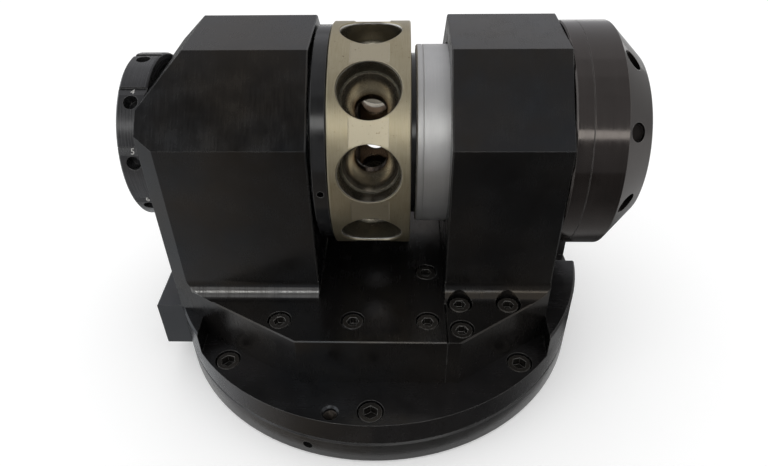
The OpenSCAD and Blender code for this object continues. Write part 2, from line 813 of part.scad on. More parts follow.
module pocket_ring() {
    c = 0.8;
    // where a flat meets the wall of a pocket
    rim_low = (ring_r - flat_depth - ball_r * sin(station_angle / 2)) / cos(station_angle / 2);
    color([0.70, 0.64, 0.52]) difference() {
        turned([[x_face, bore_r], [x_face, ring_r - c], [x_face + c, ring_r],
            [-x_face - c, ring_r], [-x_face, ring_r - c], [-x_face, bore_r]]);
        round_axis(stations, ring_r - flat_depth, station_angle / 2)
            translate([-flat_w / 2, -ball_r, 0]) cube([flat_w, 2 * ball_r, flat_depth + 1]);
        round_axis(stations, rim_low - lead_start)
            cylinder(h = lead_h, r1 = ball_r, r2 = ball_r + lead_out);
        round_axis(stations, ring_r - pocket_wall) {
            cylinder(h = pocket_wall + 5, r = ball_r);
            sphere(r = ball_r - seat_step);
            translate([0, 0, -ring_r + pocket_wall + bore_r / 2]) cylinder(h = ring_r - pocket_wall, d = pocket_hole_d);
        }
    }
}

module spindle_end_cap() {
    color([0.35, 0.35, 0.36]) difference() {
        rod_x(cylinder_r - seat_gap, x_spindle_end, x_spindle_end + cap_plug_t);
        translate([x_spindle_end - 1, 0, z_axis]) rotate([0, 90, 0]) cylinder(h = 4, r = 6, $fn = 6);
    }
}

x_draw_piston = x_spindle_end + cap_plug_t + draw_piston_gap;

module drawbar() {
    color([0.5, 0.5, 0.51]) difference() {
        union() {
            rod_x(drawbar_r, x_draw_piston + draw_piston_t, x_collet_back + 2);
            rod_x(draw_end_r, x_draw_piston, x_draw_piston + draw_piston_t + 1);
        }
        translate([x_collet_back + 3, 0, z_axis]) rotate([0, -90, 0]) cylinder(h = cone_screw_l, r = m10[0] / 2 + seat_gap);
    }
}

module collet_piston() {
    color([0.42, 0.42, 0.43])
        tube_x(cylinder_r - run_gap, draw_end_r + seat_gap, x_draw_piston, x_draw_piston + draw_piston_t - seat_gap);
}

module collet_cone() {
    x1 = x_collet_back + 2;
    x2 = x_collet - 0.5;
    r2 = collet_mouth_r - cone_gap - 0.5 * collet_slope;
    r1 = r2 - (x2 - x1) * collet_slope;
    color([0.42, 0.42, 0.43]) difference() {
        rod_x(r1, x1, x2, r2);
        translate([x2, 0, z_axis]) rotate([0, 90, 0]) screw_hole(m10, cone_screw_l);
    }
}

module cone_screw() {
    color([0.12, 0.12, 0.12]) translate([x_collet - 0.5, 0, z_axis]) rotate([0, 90, 0])
        placed_screw(m10, cone_screw_l - 4);
}

module plunger_sleeve() {
    color([0.72, 0.55, 0.28]) translate([-plunger_x, 0, 0]) difference() {
        translate([0, 0, z_spring_top]) cylinder(h = z_sleeve_top - z_spring_top, r = plunger_r + sleeve_t - seat_gap);
        translate([0, 0, z_spring_top - 1]) cylinder(h = z_sleeve_top - z_spring_top + 2, r = plunger_r + run_gap);
    }
}

module lock_plunger() {
    stem_top = blade_top - blade_h;
    color([0.5, 0.5, 0.51]) translate([-plunger_x, 0, 0]) {
        translate([0, 0, collar_rest]) cylinder(h = collar_h, r = collar_r);
        translate([0, 0, collar_rest]) cylinder(h = stem_top - collar_rest, r = plunger_r);
        translate([0, 0, stem_top - 1]) rotate([90, 0, 90]) translate([0, 0, -blade_l / 2])
            linear_extrude(blade_l) polygon([[-blade_w / 2, 0], [blade_w / 2, 0], [blade_w / 2, blade_h],
                [blade_w / 2 - 1, blade_h + 1], [1 - blade_w / 2, blade_h + 1], [-blade_w / 2, blade_h]]);
    }
}

// One ring of points of the spring wire at a turn angle
function wire_ring(a, z) = [for (i = [0:spring_sides - 1])
    let (t = i * 360 / spring_sides, r = spring_r + spring_wire / 2 * cos(t))
    [r * cos(a), r * sin(a), z + spring_wire / 2 * sin(t)]];

module plunger_spring() {
    rings = spring_turns * spring_steps;
    span = spring_room - spring_wire - 0.2;
    z_low = collar_rest + collar_h + spring_wire / 2 + 0.1;
    points = [for (k = [0:rings]) each wire_ring(k * 360 / spring_steps, z_low + span * k / rings)];
    sides = [for (k = [0:rings - 1], i = [0:spring_sides - 1])
        [k * spring_sides + i, k * spring_sides + (i + 1) % spring_sides,
            (k + 1) * spring_sides + (i + 1) % spring_sides, (k + 1) * spring_sides + i]];
    ends = [[for (i = [spring_sides - 1:-1:0]) i],
        [for (i = [0:spring_sides - 1]) rings * spring_sides + i]];
    color([0.5, 0.5, 0.51]) translate([-plunger_x, 0, 0])
        polyhedron(points, concat([for (f = sides) [f[3], f[2], f[1], f[0]]],
            [for (f = ends) [for (i = [len(f) - 1:-1:0]) f[i]]]));
}

module plunger_plug() {
    color([0.35, 0.35, 0.36]) translate([-plunger_x, 0, z_slot]) difference() {
        cylinder(h = plug_h, r = collar_r + run_gap - seat_gap);
        translate([0, 0, -1]) cylinder(h = 7, r = 7, $fn = 6);
    }
}

module nose_screw_places() {
    round_axis(6, nose_screw_r) translate([x_nose - spigot_l, 0, 0]) rotate([0, -90, 0]) children();
}

module clamp_pad() {
    r = pad_d / 2;
    c = 1;
    color([0.66, 0.66, 0.68]) difference() {
        turned([[x_pad, 0], [x_pad, r - c], [x_pad + c, r], [x_pad + groove_at, r],
            [x_pad + groove_at, r - groove_w], [x_pad + groove_at + groove_w, r - groove_w],
            [x_pad + groove_at + groove_w, r], [x_pad_back - c, r], [x_pad_back, r - c],
            [x_pad_back, stub_r + 5], [x_quill, stub_r + 5], [x_quill, stub_r], [x_stub, stub_r], [x_stub, 0]]);
        nose_screw_places() screw_hole(m5, nose_screw_l);
    }
}

module pad_nose() {
    spigot = bore_r - 0.3;
    color([0.15, 0.15, 0.16]) difference() {
        turned([[x_pad, nose_bore_r], [x_pad, nose_d / 2], [x_nose + 0.6, nose_d / 2], [x_nose, nose_d / 2 - 0.6],
            [x_nose, spigot], [x_nose - spigot_l + 2, spigot], [x_nose - spigot_l, spigot - 1.2],
            [x_nose - spigot_l, nose_bore_r]]);
        nose_screw_places() screw_hole(m5, nose_screw_l);
    }
}

module nose_screws() {
    color([0.12, 0.12, 0.12]) nose_screw_places() placed_screw(m5, nose_screw_l);
}

// Middle of each bearing along the axis
bearing_mid = [for (i = [0:bearings - 1]) x_quill + (i + 0.5) * bearing_w];
race_r = bearing_ball_r + race_gap;

module race(x, in_r, out_r) {
    difference() {
        tube_x(out_r, in_r, x - bearing_w / 2 + seat_gap, x + bearing_w / 2 - seat_gap);
        translate([x, 0, z_axis]) rotate([0, 90, 0]) rotate_extrude() translate([pitch_r, 0]) circle(r = race_r);
    }
}

module bearing_inner_rings() {
    color([0.6, 0.6, 0.6]) for (x = bearing_mid) race(x, stub_r + seat_gap, pitch_r - race_shoulder);
}

module bearing_outer_rings() {
    color([0.6, 0.6, 0.6]) for (x = bearing_mid) race(x, pitch_r + race_shoulder, bearing_r - seat_gap);
}

module bearing_balls() {
    color([0.75, 0.75, 0.76]) for (x = bearing_mid)
        round_axis(ball_count, pitch_r) translate([x, 0, 0]) sphere(r = bearing_ball_r);
}

module retainer_screw_places() {
    round_axis(6, retainer_screw_r, 30) translate([x_quill - retainer_t, 0, 0]) rotate([0, -90, 0]) children();
}

module bearing_retainer() {
    color([0.35, 0.35, 0.36]) difference() {
        tube_x(quill_r - 0.5, stub_r + 8, x_quill - retainer_t, x_quill);
        retainer_screw_places() screw_hole(m4, retainer_screw_l);
    }
}

module retainer_screws() {
    color([0.12, 0.12, 0.12]) retainer_screw_places() placed_screw(m4, retainer_screw_l);
}

module bearing_nut() {
    color([0.35, 0.35, 0.36]) difference() {
        tube_x(stub_r + 8, stub_r + seat_gap, x_bearing_end, x_stub);
        for (a = [45:90:315])
            translate([0, 0, z_axis]) rotate([a, 0, 0])
                translate([x_bearing_end + 2, -3, stub_r + 4]) cube([bearing_nut_t, 6, 10]);
    }
}

module clamp_quill() {
    color([0.5, 0.5, 0.51]) difference() {
        union() {
            rod_x(quill_r, x_quill, x_quill_end);
            rod_x(rod_r, x_quill_end - 1, x_piston);
        }
        rod_x(bearing_r, x_quill - 1, x_bearing_end);
        rod_x(stub_r + 11, x_quill, x_cavity);
        retainer_screw_places() screw_hole(m4, retainer_screw_l);
        translate([x_quill_key - clamp_stroke - 1, -quill_key_w / 2, z_axis - quill_r - 1])
            cube([quill_key_l + clamp_stroke + 2, quill_key_w, quill_key_depth + 1]);
        translate([x_piston + 1, 0, z_axis]) rotate([0, -90, 0]) cylinder(h = 28, r = m12[0] / 2 + seat_gap);
    }
}

module quill_key() {
    color([0.5, 0.5, 0.5])
        translate([x_quill_key, -quill_key_w / 2 + run_gap, z_axis - quill_r - quill_key_h + quill_key_depth])
            cube([quill_key_l - seat_gap, quill_key_w - 2 * run_gap, quill_key_h - 1]);
}

module cylinder_flange() {
    c = 1;
    color([0.24, 0.22, 0.21]) difference() {
        turned([[x_right, rod_r + run_gap], [x_right, cap_r - c], [x_right + c, cap_r], [x_cap - 0.3, cap_r],
            [x_cap, cap_r - 0.3], [x_cap, boss_r], [x_boss, boss_r], [x_boss, rod_r + run_gap]]);
        rod_x(rod_r + seal_depth, x_cap - 5, x_cap - 5 + seal_w);
        round_axis(8, cap_screw_r, 22.5) translate([x_cap, 0, 0]) rotate([0, 90, 0])
            screw_hole(m8, cap_screw_l);
    }
}

module cylinder_screws() {
    color([0.12, 0.12, 0.12]) round_axis(8, cap_screw_r, 22.5)
        translate([x_cap, 0, 0]) rotate([0, 90, 0]) placed_screw(m8, cap_screw_l);
}

module rod_seal() {
    color([0.08, 0.08, 0.08])
        tube_x(rod_r + seal_depth - seat_gap, rod_r + run_gap, x_cap - 5 + seat_gap, x_cap - 5 + seal_w - seat_gap);
}

module clamp_piston() {
    color([0.5, 0.5, 0.51]) difference() {
        rod_x(chamber_r - 2 * run_gap, x_piston, x_piston_end);
        tube_x(chamber_r + 1, chamber_r - seal_depth, x_piston + 6, x_piston + 6 + seal_w);
        translate([x_piston_end, 0, z_axis]) rotate([0, 90, 0]) screw_hole(m12, piston_screw_l);
    }
}

module piston_seal() {
    color([0.08, 0.08, 0.08])
        tube_x(chamber_r - run_gap, chamber_r - seal_depth + seat_gap, x_piston + 6 + seat_gap,
            x_piston + 6 + seal_w - seat_gap);
}

module piston_screw() {
    color([0.12, 0.12, 0.12]) translate([x_piston_end, 0, z_axis]) rotate([0, 90, 0])
        placed_screw(m12, piston_screw_l - 4);
}

module cap_seal() {
    color([0.08, 0.08, 0.08]) tube_x(boss_r - seat_gap, chamber_r + 1, x_boss, x_boss + 1.5);
}

module end_cap() {
    color([0.27, 0.25, 0.24]) difference() {
        turned([[x_cap, boss_r + seat_gap], [x_cap, cap_r - 0.3], [x_cap + 0.3, cap_r], [x_cone, cap_r],
            [x_end - 1, cone_end_r + 1], [x_end, cone_end_r - 1], [x_end, port_r],
            [x_chamber_end, port_r], [x_chamber_end, chamber_r], [x_boss + 1.5, chamber_r],
            [x_boss + 1.5, boss_r + seat_gap]]);
        round_axis(spanner_holes, spanner_floor_r, spanner_offset) translate([x_cone + spanner_at, 0, 0])
            cylinder(h = cap_r - spanner_floor_r, d = spanner_hole_d);
    }
}

adapter_plate();
base_flange();
base_screws();
side_block();
side_block_screws();
main_body();
body_screws();
tail_block();
tail_block_screws();
locating_dowels();
bearing_housing();
housing_screws();
front_bush();
rear_bush();
thrust_washer();
index_spindle();
face_plate();
face_plate_screws();
index_plate();
plate_spacer();
plate_key();
index_dial();
dial_key();
dial_washer();
dial_nut();
collet();
pocket_ring();
spindle_end_cap();
drawbar();
collet_cone();
cone_screw();
collet_piston();
plunger_sleeve();
lock_plunger();
plunger_spring();
plunger_plug();
clamp_pad();
pad_nose();
nose_screws();
bearing_inner_rings();
bearing_balls();
bearing_outer_rings();
bearing_retainer();
retainer_screws();
bearing_nut();
clamp_quill();
quill_key();
cylinder_flange();
cylinder_screws();
rod_seal();
clamp_piston();
piston_seal();
piston_screw();
cap_seal();
end_cap();
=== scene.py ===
import bpy, bmesh, math
from mathutils import Vector, Matrix


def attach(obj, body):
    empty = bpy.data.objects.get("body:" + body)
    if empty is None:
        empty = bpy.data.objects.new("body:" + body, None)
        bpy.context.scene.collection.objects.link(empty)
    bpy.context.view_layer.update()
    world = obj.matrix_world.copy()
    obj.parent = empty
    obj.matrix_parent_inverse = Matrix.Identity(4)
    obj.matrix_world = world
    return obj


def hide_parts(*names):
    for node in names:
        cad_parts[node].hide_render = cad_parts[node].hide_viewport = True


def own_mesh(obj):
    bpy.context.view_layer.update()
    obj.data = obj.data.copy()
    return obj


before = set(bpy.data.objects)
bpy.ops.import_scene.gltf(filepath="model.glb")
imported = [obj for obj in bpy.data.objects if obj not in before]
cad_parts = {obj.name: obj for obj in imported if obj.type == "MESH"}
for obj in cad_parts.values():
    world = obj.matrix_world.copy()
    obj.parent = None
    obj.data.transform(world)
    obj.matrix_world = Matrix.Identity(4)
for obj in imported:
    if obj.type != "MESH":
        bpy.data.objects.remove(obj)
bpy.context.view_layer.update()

print("frame loaded,", len(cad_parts), "nodes")

mm = 0.001
axisZ = 0.1835          # height of the index axis
up = Vector((0, 0, 1))


# ---- small helpers for node materials

class Surface:
    def __init__(self, name):
        self.mat = bpy.data.materials.new(name)
        self.mat.use_nodes = True
        self.tree = self.mat.node_tree
        self.shader = self.tree.nodes["Principled BSDF"]
        self.coords = None
        self.rounded = None     # normal with the edges rounded, once edges() is made

    def add(self, kind, **values):
        node = self.tree.nodes.new(kind)
        for key, value in values.items():
            if hasattr(node, key):
                setattr(node, key, value)
            else:
                node.inputs[key.replace("_", " ")].default_value = value
        return node

    def join(self, a, b):
        self.tree.links.new(a, b)

    def where(self):
        if self.coords is None:
            self.coords = self.add("ShaderNodeTexCoord").outputs["Object"]
        return self.coords

    def mapped(self, scale, vector=None):
        m = self.add("ShaderNodeMapping")
        m.inputs["Scale"].default_value = scale
        self.join(vector or self.where(), m.inputs["Vector"])
        return m.outputs["Vector"]

    def noise(self, scale, detail=3.0, roughness=0.5, vector=None, stretch=None):
        n = self.add("ShaderNodeTexNoise", Scale=scale, Detail=detail, Roughness=roughness)
        v = vector or self.where()
        if stretch:
            v = self.mapped(stretch, v)
        self.join(v, n.inputs["Vector"])
        return n.outputs["Fac"]

    def math(self, operation, a, b=None, clamp=False):
        n = self.add("ShaderNodeMath", operation=operation, use_clamp=clamp)
        for i, v in enumerate((a, b)):
            if v is None:
                continue
            if isinstance(v, (int, float)):
                n.inputs[i].default_value = v
            else:
                self.join(v, n.inputs[i])
        return n.outputs[0]

    def ramp(self, fac, stops, mode="LINEAR"):
        n = self.add("ShaderNodeValToRGB")
        n.color_ramp.interpolation = mode
        while len(n.color_ramp.elements) < len(stops):
            n.color_ramp.elements.new(0.5)
        for e, (place, colour) in zip(n.color_ramp.elements, stops):
            e.position = place
            e.color = colour if len(colour) == 4 else (*colour, 1)
        self.join(fac, n.inputs["Fac"])
        return n.outputs["Color"]

    def spread(self, fac, low, high, fromLow=0.0, fromHigh=1.0):
        n = self.add("ShaderNodeMapRange")
        for key, v in (("From Min", fromLow), ("From Max", fromHigh), ("To Min", low), ("To Max", high)):
            n.inputs[key].default_value = v
        self.join(fac, n.inputs["Value"])
        return n.outputs["Result"]

    def blendColour(self, fac, a, b):
        n = self.add("ShaderNodeMix", data_type="RGBA")
        self.join(fac, n.inputs["Factor"])
        for key, v in ((6, a), (7, b)):
            if isinstance(v, tuple):
                n.inputs[key].default_value = (*v, 1)
            else:
                self.join(v, n.inputs[key])
        return n.outputs[2]

    def bump(self, height, strength, distance, normal=None):
        n = self.add("ShaderNodeBump", Strength=strength, Distance=distance)
        self.join(height, n.inputs["Height"])
        if normal:
            self.join(normal, n.inputs["Normal"])
        return n.outputs["Normal"]

    # distance from the index axis or from the vertical axis, and the place along it
    def roundAxis(self, axis="X"):
        split = self.add("ShaderNodeSeparateXYZ")
        self.join(self.where(), split.inputs[0])
        x, y, z = split.outputs
        if axis == "X":
            z = self.math("SUBTRACT", z, axisZ)
            across, along, second = y, x, z
        else:
            across, along, second = x, z, y
        squares = self.math("ADD", self.math("MULTIPLY", across, across), self.math("MULTIPLY", second, second))
        radius = self.math("SQRT", squares)
        angle = self.math("ARCTAN2", across, second)
        return radius, along, angle

    # pale edges, partly real wear and partly a painted highlight where the small chamfers catch the light: where a
    # rounded normal leaves the true one
    def edges(self, radius, low=0.02, high=0.25):
        bevel = self.add("ShaderNodeBevel", samples=6, Radius=radius)
        self.rounded = bevel.outputs["Normal"]
        geo = self.add("ShaderNodeNewGeometry")
        dot = self.add("ShaderNodeVectorMath", operation="DOT_PRODUCT")
        self.join(bevel.outputs["Normal"], dot.inputs[0])
        self.join(geo.outputs["Normal"], dot.inputs[1])
        off = self.math("SUBTRACT", 1.0, dot.outputs["Value"])
        return self.spread(off, 0.0, 1.0, low, high)

    def set(self, **values):
        names = {"metal": "Metallic", "rough": "Roughness", "spec": "Specular IOR Level", "tint": "Specular Tint",
                 "colour": "Base Color"}
        for key, v in values.items():
            socket = self.shader.inputs[names[key]]
            if hasattr(v, "is_output"):
                self.join(v, socket)
            else:
                socket.default_value = (*v, 1) if isinstance(v, tuple) else v
        return self

    def normal(self, output):
        self.join(output, self.shader.inputs["Normal"])
        return self


# ---- finishes

# black oxide on ground and milled blocks, oily, with smudges and slightly worn edges
def blackOxide(name, tone=(0.0034, 0.0031, 0.0030), pale=(0.0080, 0.0073, 0.0069), rough=(0.15, 0.30),
               grain=(900, 60, 60), wearGlintWidth=0.0006, edgeTone=(0.20, 0.195, 0.185), filletHighlight=None, warm=(1.0, 0.88, 0.74)):
    s = Surface(name)
    cloud = s.noise(14, 5, 0.62)
    smudge = s.noise(55, 4, 0.6)
    lines = s.noise(1.0, 2, 0.5, stretch=grain)
    body = s.blendColour(s.spread(cloud, 0, 1, 0.35, 0.72), tone, pale)
    # blue and brown oxide drift over the faces
    drift = s.spread(s.noise(7.5, 4, 0.62), 0, 1, 0.40, 0.62)
    s.set(tint=s.blendColour(drift, (0.86, 0.92, 1.0), warm))
    # pale worn edges, which also paint the highlights of the small chamfers
    edge = s.math("MULTIPLY", s.edges(wearGlintWidth), s.spread(s.noise(90, 3, 0.6), 0.35, 1.0, 0.35, 0.65))
    roughness = s.math("ADD", s.spread(smudge, rough[0], rough[1], 0.3, 0.7), s.spread(lines, -0.03, 0.05, 0.3, 0.7))
    if filletHighlight:
        # painted highlight: a bright band along the milled radius at the foot of the left tower, standing in for the
        # window strip's reflection there, broken by the real cutter streaks and less rough
        split = s.add("ShaderNodeSeparateXYZ")
        s.join(s.where(), split.inputs[0])
        low, high = filletHighlight["z"]
        near, far = filletHighlight["y"]
        side = s.math("ABSOLUTE", split.outputs[1])
        highlightMask = s.math("MULTIPLY", s.spread(split.outputs[2], 1, 0, high - 0.001, high), s.spread(split.outputs[2], 0, 1, low, low + 0.0004))
        highlightMask = s.math("MULTIPLY", highlightMask, s.math("MULTIPLY", s.spread(side, 0, 1, near, near + 0.0006), s.spread(side, 1, 0, far - 0.001, far)))
        streaks = s.noise(1.0, 3, 0.6, stretch=(1300, 25, 25))
        highlightMask = s.math("MULTIPLY", highlightMask, s.spread(streaks, 0.30, 1.0, 0.38, 0.62))
        body = s.blendColour(highlightMask, body, filletHighlight["tone"])
        edge = s.math("MAXIMUM", edge, highlightMask)
        roughness = s.math("SUBTRACT", roughness, s.math("MULTIPLY", highlightMask, 0.12))
        s.set(colour=s.blendColour(s.math("SUBTRACT", edge, highlightMask, True), body, edgeTone), spec=0.5)
    else:
        s.set(colour=s.blendColour(edge, body, edgeTone), spec=0.5)
    s.set(rough=roughness)
    s.set(metal=s.math("MULTIPLY", edge, 0.7))
    s.normal(s.bump(s.math("ADD", lines, s.math("MULTIPLY", cloud, 0.6)), 0.07, 0.00006, s.rounded))
    return s.mat


# turned steel: fine rings round an axis
def turnedSteel(name, tone, pale, metal=1.0, rough=(0.25, 0.36), axis="X", ringScale=2600, faces=1.0, spec=0.5, wearGlintWidth=0.0005,
                edgeTone=(0.34, 0.335, 0.325), strength=0.25, tint=(1, 1, 1), holes=None):
    s = Surface(name)
    radius, along, angle = s.roundAxis(axis)
    place = s.add("ShaderNodeCombineXYZ")
    s.join(s.math("MULTIPLY", along, ringScale), place.inputs[0])
    s.join(s.math("MULTIPLY", radius, ringScale * faces), place.inputs[1])
    s.join(s.math("MULTIPLY", angle, 1.5), place.inputs[2])
    rings = s.noise(1.0, 3, 0.6, place.outputs[0])
    cloud = s.noise(24, 4, 0.6)
    # pale worn edges, which also paint the highlights of the small chamfers
    edge = s.edges(wearGlintWidth)
    body = s.blendColour(s.spread(s.math("ADD", s.math("MULTIPLY", rings, 0.35), s.math("MULTIPLY", cloud, 0.65)), 0, 1, 0.36, 0.64), tone, pale)
    roughness = s.math("ADD", s.spread(cloud, rough[0], rough[1], 0.3, 0.7), s.spread(rings, -0.05, 0.07, 0.3, 0.7))
    if holes:
        # painted shade: drilled holes are made darker inside, with less specular and more roughness, where the radius
        # is well under the cone's
        start, full = holes["from"], holes["radius"]
        cone = s.math("SUBTRACT", full, s.math("MAXIMUM", s.math("SUBTRACT", along, start), 0.0))
        under = s.math("SUBTRACT", cone, radius)
        inHole = s.math("MULTIPLY", s.spread(under, 0, 1, 0.0006, 0.0030), s.spread(along, 1, 0, holes["to"] - 0.001, holes["to"]))
        spec = s.spread(inHole, spec, 0.12)
        roughness = s.math("ADD", roughness, s.math("MULTIPLY", inHole, 0.25))
    s.set(colour=s.blendColour(s.math("MULTIPLY", edge, 0.7), body, edgeTone), metal=metal, spec=spec, tint=tint)
    s.set(rough=roughness)
    s.normal(s.bump(rings, strength, 0.00004, s.rounded))
    return s.mat


# pale brass of the pocket ring: brushed rim with brown spots, polished seats with painted highlights and shade, brown
# through holes
def ringBrass(name):
    look = {"rim": (0.335, 0.288, 0.186), "rimPale": (0.44, 0.392, 0.280), "spot": (0.12, 0.075, 0.04), "flat": (0.50, 0.452, 0.345),
            "wall": (0.22, 0.20, 0.155), "seat": (0.40, 0.365, 0.29), "hole": (0.15, 0.10, 0.060),
            "steepHighlight": (0.62, 0.57, 0.46), "stepFaceShade": (0.13, 0.12, 0.092), "seatTop": 0.0665, "steepFrom": 0.060}
    s = Surface(name)
    radius, along, angle = s.roundAxis("X")
    place = s.add("ShaderNodeCombineXYZ")
    s.join(s.math("MULTIPLY", along, 2200), place.inputs[0])
    s.join(s.math("MULTIPLY", radius, 1400), place.inputs[1])
    s.join(s.math("MULTIPLY", angle, 7), place.inputs[2])
    brush = s.noise(1.0, 4, 0.65, place.outputs[0])
    cloud = s.noise(38, 5, 0.6)
    specks = s.noise(620, 2, 0.5)
    patches = s.noise(60, 3, 0.6)
    rim = s.blendColour(s.spread(s.math("ADD", s.math("MULTIPLY", brush, 0.5), s.math("MULTIPLY", cloud, 0.5)), 0, 1, 0.36, 0.64), look["rim"], look["rimPale"])
    # the milled flats between the pockets are a little lower than the round rim
    milled = s.math("MULTIPLY", s.spread(radius, 1, 0, 0.08530, 0.08540), s.spread(s.math("ABSOLUTE", along), 1, 0, 0.0134, 0.0137))
    rim = s.blendColour(s.math("MULTIPLY", milled, 0.6), rim, look["flat"])
    spots = s.math("MULTIPLY", s.spread(specks, 0, 1, 0.66, 0.74), s.spread(patches, 0.15, 1, 0.42, 0.62), clamp=True)
    rim = s.blendColour(s.math("MULTIPLY", spots, 0.8), rim, look["spot"])
    # colour by depth in the pockets; the white stop at the mouth paints a highlight on the pocket lip
    depth = s.ramp(s.spread(radius, 0, 1, 0.040, 0.090), [
        (0.04, look["hole"]), (0.20, look["hole"]), (0.27, look["seat"]), (0.50, look["seat"]),
        (0.56, look["wall"]), (0.86, look["wall"]), (0.885, (1, 1, 1))])
    # place in the nearest pocket: depth along its axis and distance from it
    turn = s.add("ShaderNodeMath", operation="WRAP")
    s.join(angle, turn.inputs[0])
    turn.inputs[1].default_value = math.radians(20)
    turn.inputs[2].default_value = math.radians(-20)
    deep = s.math("MULTIPLY", radius, s.math("COSINE", turn.outputs[0]))
    # painted highlight on the steep part of the ball seat, and painted shade on the small face of its step
    steepHighlight = s.math("MULTIPLY", s.spread(deep, 0, 1, look["steepFrom"], look["seatTop"] - 0.001), s.spread(deep, 1, 0, look["seatTop"] - 0.0002, look["seatTop"] + 0.0001))
    stepFaceShade = s.math("MULTIPLY", s.spread(deep, 0, 1, look["seatTop"] - 0.0004, look["seatTop"] - 0.0001), s.spread(deep, 1, 0, look["seatTop"] + 0.0015, look["seatTop"] + 0.003))
    depth = s.blendColour(steepHighlight, depth, look["steepHighlight"])
    depth = s.blendColour(stepFaceShade, depth, look["stepFaceShade"])
    inside = s.spread(radius, 1, 0, 0.0838, 0.0845)
    flat = s.spread(s.math("ABSOLUTE", along), 0, 1, 0.0279, 0.0284)
    inside = s.math("MULTIPLY", inside, s.math("SUBTRACT", 1.0, flat))
    # pale worn edges, which also paint the highlights of the small chamfers
    edge = s.edges(0.0007)
    # the step of the ball seat is lapped smooth, so the light runs over it
    lapped = s.add("ShaderNodeBevel", samples=6)
    lapped.inputs["Radius"].default_value = 0.003
    s.rounded = s.blendColour(inside, s.rounded, lapped.outputs[0])
    body = s.blendColour(inside, rim, depth)
    s.set(colour=s.blendColour(s.math("MULTIPLY", edge, 0.65), body, (0.72, 0.67, 0.56)), metal=0.92)
    rough = s.math("ADD", s.spread(cloud, 0.36, 0.46, 0.3, 0.7), s.spread(brush, -0.05, 0.06, 0.3, 0.7))
    s.set(rough=s.math("SUBTRACT", rough, s.math("MULTIPLY", inside, 0.18)))
    s.normal(s.bump(s.math("ADD", brush, s.math("MULTIPLY", spots, -0.7)), 0.3, 0.00005, s.rounded))
    return s.mat


# black rubber of the seals, with a fine grain
def rubberBlack(name):
    s = Surface(name)
    n = s.noise(500, 3, 0.6)
    s.set(colour=s.blendColour(n, (0.010, 0.010, 0.010), (0.022, 0.022, 0.022)), spec=0.3)
    s.set(rough=s.spread(n, 0.5, 0.7, 0.3, 0.7))
    s.normal(s.bump(n, 0.2, 0.00005))
    return s.mat


finish = {
    # the filletHighlight entries paint a highlight band on the radius at the foot of the towers
    "body": blackOxide("black oxide body", filletHighlight={"z": (0.0903, 0.0985), "y": (0.0848, 0.0942), "tone": (0.19, 0.187, 0.182)}),
    "blocks": blackOxide("black oxide blocks", filletHighlight={"z": (0.0903, 0.0965), "y": (0.0862, 0.0942), "tone": (0.050, 0.043, 0.034)}),
    "flange": blackOxide("black oxide flange", tone=(0.0042, 0.0040, 0.0041), pale=(0.0110, 0.0104, 0.0107), grain=(60, 900, 60),
                         warm=(1.0, 0.95, 0.93)),
    "screws": blackOxide("black screws", tone=(0.008, 0.0072, 0.0064), pale=(0.020, 0.018, 0.016), rough=(0.14, 0.26), wearGlintWidth=0.0007,
                         edgeTone=(0.48, 0.47, 0.45)),
    "gloss": turnedSteel("polished black", (0.006, 0.006, 0.0063), (0.013, 0.013, 0.0135), metal=0.0, rough=(0.12, 0.22), wearGlintWidth=0.0005),
    "adapter": turnedSteel("ground disc", (0.009, 0.0088, 0.0088), (0.020, 0.0196, 0.0194), metal=0.0, rough=(0.22, 0.34), axis="Z"),
    "side": blackOxide("ground side block", tone=(0.017, 0.017, 0.0175), pale=(0.030, 0.030, 0.031), rough=(0.26, 0.40), wearGlintWidth=0.0005),
    "pad": turnedSteel("satin pad", (0.53, 0.528, 0.523), (0.66, 0.657, 0.65), metal=0.85, rough=(0.40, 0.50), edgeTone=(0.66, 0.66, 0.65)),
    "dial": turnedSteel("dark turned dial", (0.040, 0.040, 0.0415), (0.070, 0.070, 0.0725), metal=0.6, rough=(0.20, 0.30)),
    "cap": turnedSteel("brown turned cap", (0.0060, 0.0050, 0.0046), (0.0130, 0.0110, 0.0104), metal=0.0, rough=(0.07, 0.15), ringScale=1700, spec=0.85, tint=(1.0, 0.90, 0.84),
                       holes={"from": 0.1725, "radius": 0.0855, "to": 0.195}),
    "bright": turnedSteel("ground steel", (0.42, 0.42, 0.42), (0.55, 0.55, 0.55), rough=(0.22, 0.34)),
    "bronze": turnedSteel("turned bronze", (0.50, 0.30, 0.11), (0.64, 0.42, 0.19), rough=(0.26, 0.38), edgeTone=(0.75, 0.55, 0.30)),
    "ring": ringBrass("champagne brass"),
    "rubber": rubberBlack("seal rubber"),
}
print("finishes made:", len(finish))

nodeFinish = {
    "body": "main_body",
    "blocks": "tail_block",
    "flange": "base_flange",
    "adapter": "adapter_plate",
    "side": "side_block collet",
    "screws": ("base_screws side_block_screws body_screws tail_block_screws housing_screws face_plate_screws "
               "cone_screw nose_screws retainer_screws cylinder_screws piston_screw dial_nut"),
    "gloss": "face_plate pad_nose",
    "pad": "clamp_pad",
    "dial": "index_dial spindle_end_cap",
    "cap": "cylinder_flange end_cap",
    "ring": "pocket_ring",
    "bronze": "front_bush rear_bush thrust_washer dial_washer plunger_sleeve",
    "rubber": "rod_seal piston_seal cap_seal",
}
dressed = {}
for key, names in nodeFinish.items():
    for n in names.split():
        dressed[n] = finish[key]
for n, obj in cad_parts.items():
    obj.data.materials.clear()
    obj.data.materials.append(dressed.get(n, finish["bright"]))
    for p in obj.data.polygons:
        p.material_index = 0
print("nodes dressed")


# ---- numbers in the steps of the dial
dialNumbers = {"height": 4.6 * mm, "x": -169.4 * mm, "radius": 63 * mm, "step": 1.6 * mm, "floorAngle": 11,
               "firstStep": 29, "run": 3.5 * mm, "raise": 0.06 * mm, "first": 3}


